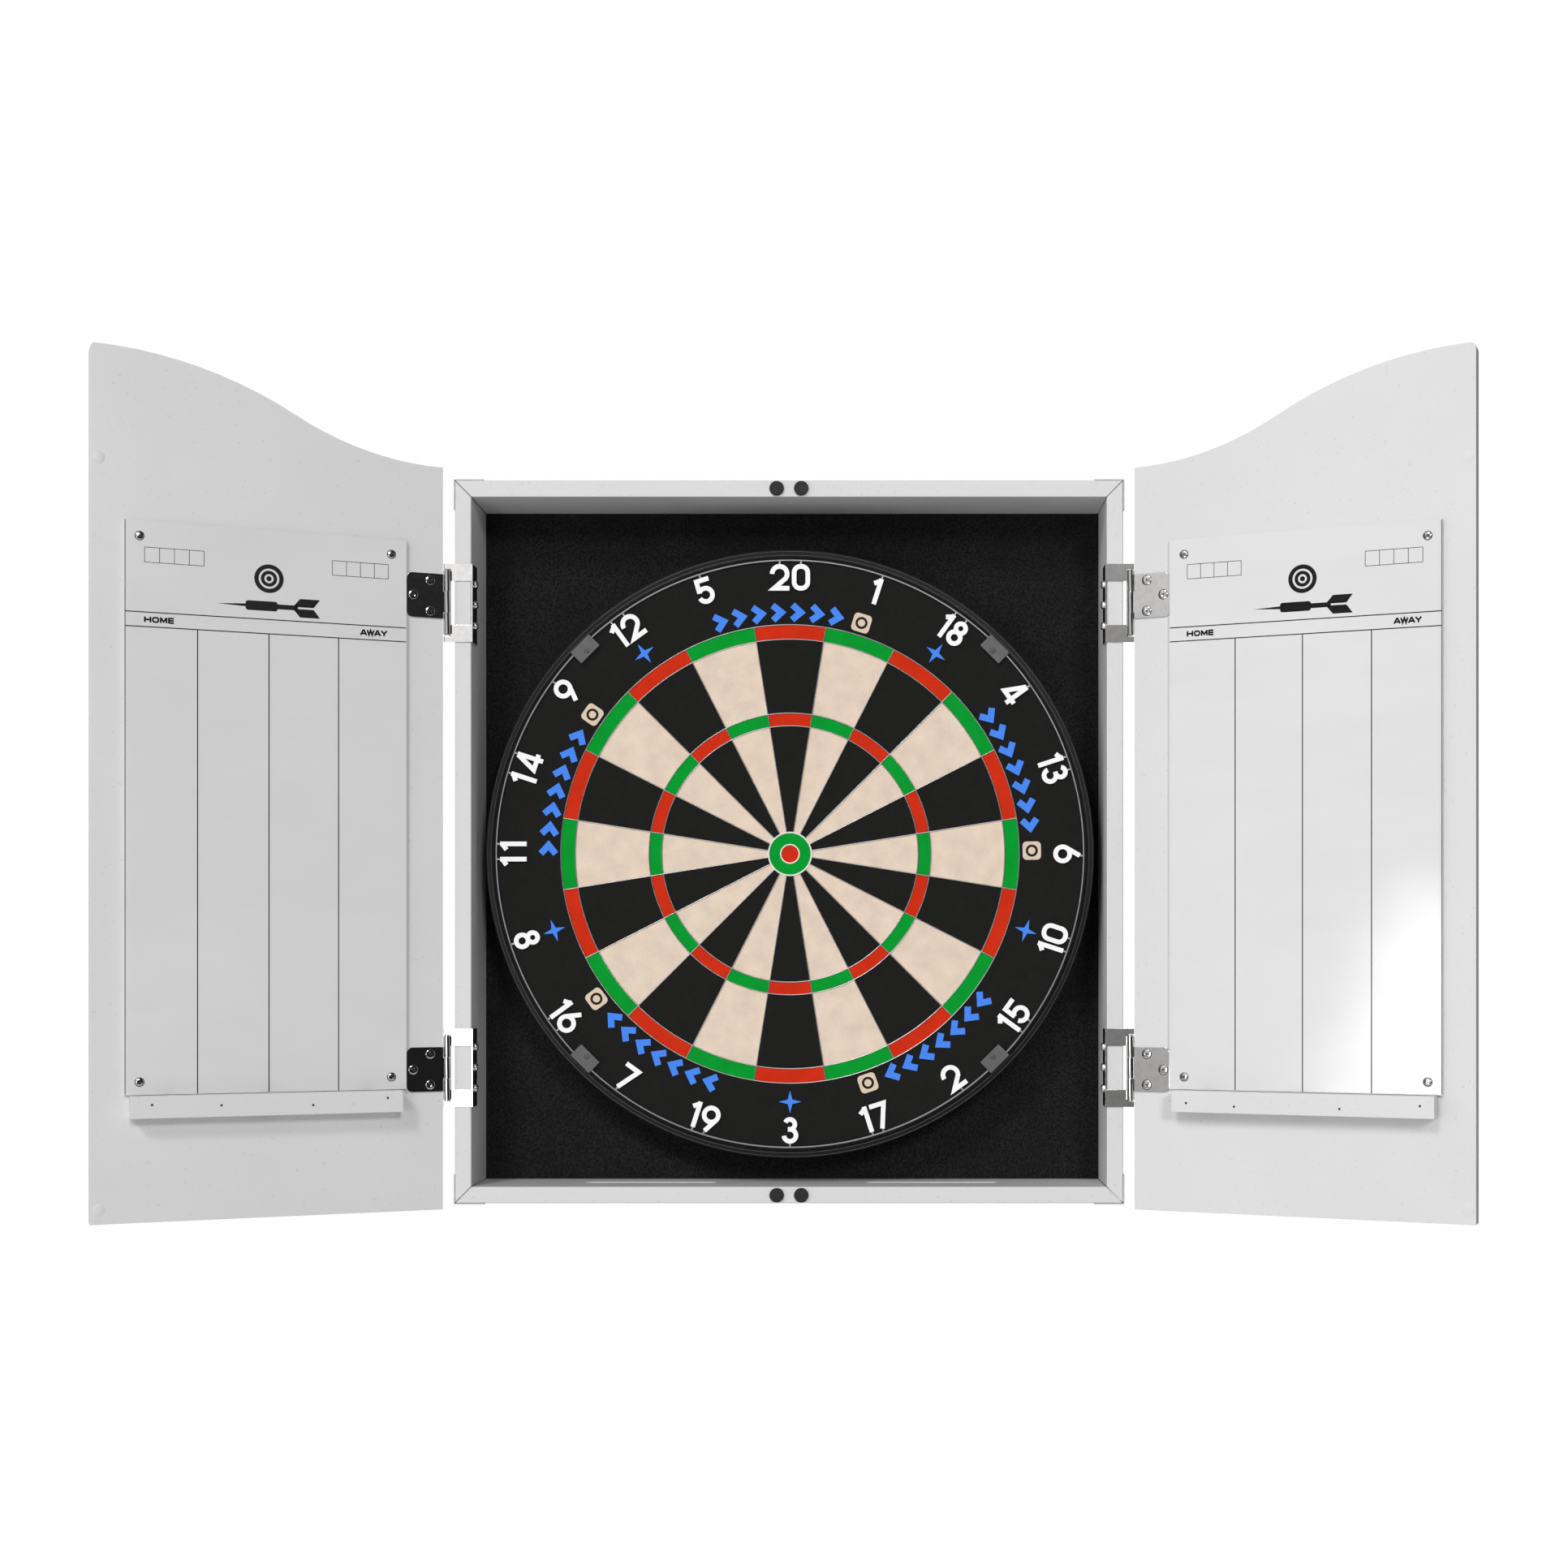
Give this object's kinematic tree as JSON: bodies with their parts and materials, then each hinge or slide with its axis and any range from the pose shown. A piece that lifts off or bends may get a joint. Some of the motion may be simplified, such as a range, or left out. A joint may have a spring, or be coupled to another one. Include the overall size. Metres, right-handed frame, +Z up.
{
  "type": "dart board cabinet",
  "caption": "Wall-hung dart board cabinet: white case, felt-lined back, ogee-topped doors with scoreboards and dart rails, and a bristle dart board on a U bracket.",
  "frame": {"origin": "centre of the back panel's rear face, which lies on the wall", "axes": "+X to the right across the cabinet, +Y into the wall, +Z up"},
  "size_m": [0.9614, 0.175, 0.6068],
  "materials": {
    "white_paint": "satin white lacquer on fibreboard",
    "raw_fibreboard": "bare fibreboard, matt",
    "black_felt": "matt black felt",
    "black_plastic": "matt black",
    "nickel_plate": "bright nickel plate",
    "zinc_plate": "bright zinc plate",
    "score_surface": "glossy dry-wipe white",
    "sisal": "dyed end-grain sisal fibre: black, cream, red and green beds",
    "band_steel": "satin black steel",
    "bed_wire": "thin bright wire",
    "number_white": "white numbers on a grey wire",
    "clip_grey": "matt dark grey",
    "rubber": "matt black rubber"
  },
  "bodies": {
    "case": {"case_top": "white_paint", "case_bottom": "white_paint", "case_left": "white_paint", "case_right": "white_paint", "back_panel": "raw_fibreboard", "back_lining": "black_felt", "corner_brace_top_left": "white_paint", "corner_brace_top_right": "white_paint", "corner_brace_bottom_left": "white_paint", "corner_brace_bottom_right": "white_paint", "magnet_catch_top_left": "black_plastic", "magnet_catch_top_right": "black_plastic", "magnet_catch_bottom_left": "black_plastic", "magnet_catch_bottom_right": "black_plastic", "board_bracket": "zinc_plate", "bracket_screw_left": "zinc_plate", "bracket_screw_right": "zinc_plate", "bracket_screw_lower": "zinc_plate", "left_upper_frame_leaf": "nickel_plate", "left_upper_hinge_pin": "nickel_plate", "left_lower_frame_leaf": "nickel_plate", "left_lower_hinge_pin": "nickel_plate", "right_upper_frame_leaf": "nickel_plate", "right_upper_hinge_pin": "nickel_plate", "right_lower_frame_leaf": "nickel_plate", "right_lower_hinge_pin": "nickel_plate"},
    "left_door": {"left_door_panel": "white_paint", "left_scoreboard": "score_surface", "left_dart_rail": "white_paint", "left_upper_door_leaf": "nickel_plate", "left_lower_door_leaf": "nickel_plate", "left_score_screw_upper_hinge": "zinc_plate", "left_score_screw_upper_outer": "zinc_plate", "left_score_screw_lower_hinge": "zinc_plate", "left_score_screw_lower_outer": "zinc_plate"},
    "right_door": {"right_door_panel": "white_paint", "right_scoreboard": "score_surface", "right_dart_rail": "white_paint", "right_upper_door_leaf": "nickel_plate", "right_lower_door_leaf": "nickel_plate", "right_score_screw_upper_hinge": "zinc_plate", "right_score_screw_upper_outer": "zinc_plate", "right_score_screw_lower_hinge": "zinc_plate", "right_score_screw_lower_outer": "zinc_plate"},
    "board_screw": {"hanging_screw": "zinc_plate"},
    "dart_board": {"sisal_board": "sisal", "backing_disc": "raw_fibreboard", "steel_band": "band_steel", "wire_spider": "bed_wire", "bull_ring": "bed_wire", "number_ring": "number_white", "ring_clip_upper_right": "clip_grey", "ring_clip_lower_right": "clip_grey", "ring_clip_lower_left": "clip_grey", "ring_clip_upper_left": "clip_grey", "rubber_foot_top": "rubber", "rubber_foot_left": "rubber", "rubber_foot_right": "rubber"}
  },
  "joints": [
    {"name": "left_door_hinge", "type": "hinge", "parent": "case", "child": "left_door", "pos_m": [-0.25, -0.0728, 0], "axis": [0, 0, -1], "range_deg": [-156.5, 23.5]},
    {"name": "right_door_hinge", "type": "hinge", "parent": "case", "child": "right_door", "pos_m": [0.25, -0.0728, 0], "axis": [0, 0, 1], "range_deg": [-156.5, 23.5]},
    {"name": "board_lift", "type": "slide", "parent": "case", "child": "board_screw", "axis": [0, 0, 1], "range_m": [0, 0.022]},
    {"name": "board_turn", "type": "hinge", "parent": "board_screw", "child": "dart_board", "pos_m": [0, -0.0235, -0.008], "axis": [0, -1, 0], "continuous": true}
  ]
}
